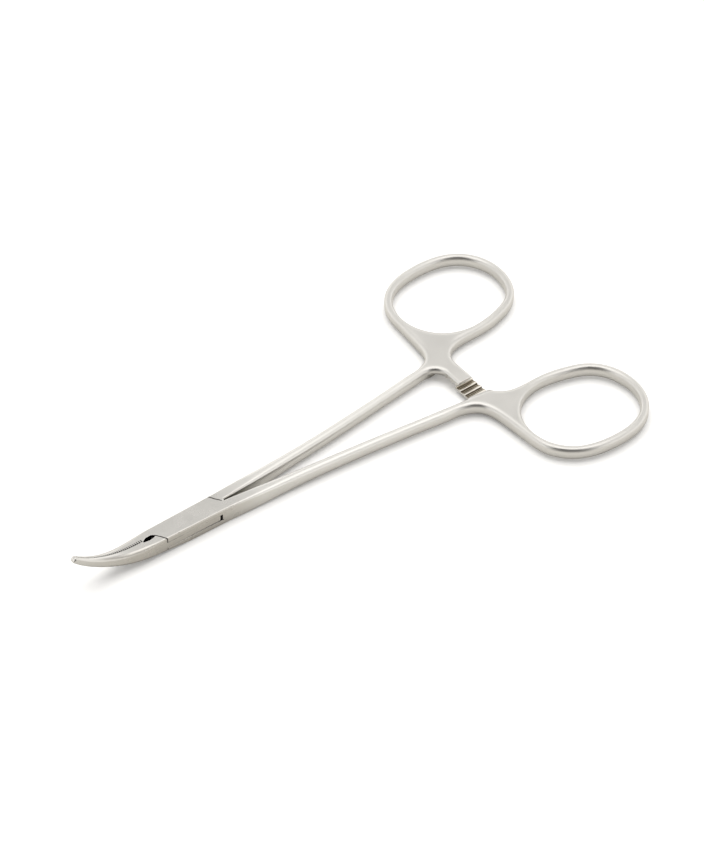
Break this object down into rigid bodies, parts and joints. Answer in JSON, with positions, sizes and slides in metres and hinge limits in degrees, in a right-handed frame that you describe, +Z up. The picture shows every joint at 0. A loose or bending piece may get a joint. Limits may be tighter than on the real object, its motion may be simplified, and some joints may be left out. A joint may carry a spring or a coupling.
{
  "type": "mosquito forceps",
  "caption": "Curved locking haemostatic forceps with serrated jaws, box lock pivot, slim shanks, oval finger rings and a ratchet.",
  "frame": {"origin": "on the pivot axis, at the flat underside of the box lock, which lies on the table", "axes": "+X from the pivot to the finger rings (the jaws point to -X), +Z up out of the underside, along the pivot axis; the jaw tips curve up towards +Z; the half with the upper ratchet bar has its ring at +Y"},
  "size_m": [0.125, 0.0682, 0.0092],
  "materials": {
    "instrument_steel": "satin, glass-bead matt"
  },
  "bodies": {
    "female_body": {"female_half": "instrument_steel", "pivot_pin": "instrument_steel"},
    "male_body": {"male_half": "instrument_steel"}
  },
  "joints": [
    {"name": "box_lock_hinge", "type": "hinge", "parent": "female_body", "child": "male_body", "pos_m": [0, 0, 0], "axis": [0, 0, 1], "range_deg": [0, 40]}
  ]
}
